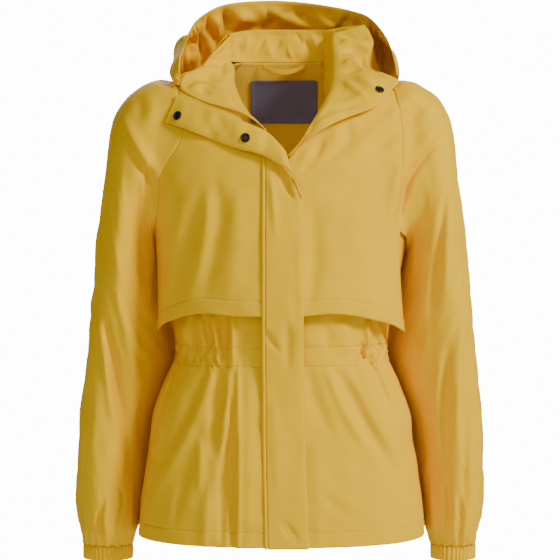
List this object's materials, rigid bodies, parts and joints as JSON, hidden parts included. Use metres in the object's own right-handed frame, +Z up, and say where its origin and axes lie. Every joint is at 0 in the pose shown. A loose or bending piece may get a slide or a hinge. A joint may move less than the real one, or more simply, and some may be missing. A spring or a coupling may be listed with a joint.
{
  "type": "hooded rain jacket",
  "caption": "Short hooded rain jacket with storm flaps, a gathered waist, a turned-out open neck and elastic cuffs, filled out as worn with no wearer.",
  "frame": {"origin": "centre of the wearer's shoulders, where the jacket is held up, level with the tops of the armholes", "axes": "+Z up towards the hood, -Y out of the front opening, +X to the viewer's right when facing the front"},
  "size_m": [0.5784, 0.3455, 0.7987],
  "materials": {
    "coated_cloth": "yellow coated weave, matt with a soft sheen",
    "mesh_lining": "open yellow mesh, matt",
    "label_weave": "dark charcoal weave, bare",
    "dark_metal": "near-black enamel"
  },
  "bodies": {
    "root": {"back": "coated_cloth", "back_lining": "mesh_lining", "front_upper_left": "coated_cloth", "front_upper_right": "coated_cloth", "front_lower_left": "coated_cloth", "front_lower_right": "coated_cloth", "placket": "coated_cloth", "placket_piping": "coated_cloth", "placket_lapel": "coated_cloth", "facing_left": "coated_cloth", "facing_right": "coated_cloth", "neck_band": "coated_cloth", "hood": "coated_cloth", "sleeve_left": "coated_cloth", "sleeve_right": "coated_cloth", "cuff_left": "coated_cloth", "cuff_right": "coated_cloth", "hanging_loop": "coated_cloth", "label": "label_weave", "snap_1": "dark_metal", "snap_2": "dark_metal", "snap_3": "dark_metal"}
  },
  "joints": []
}
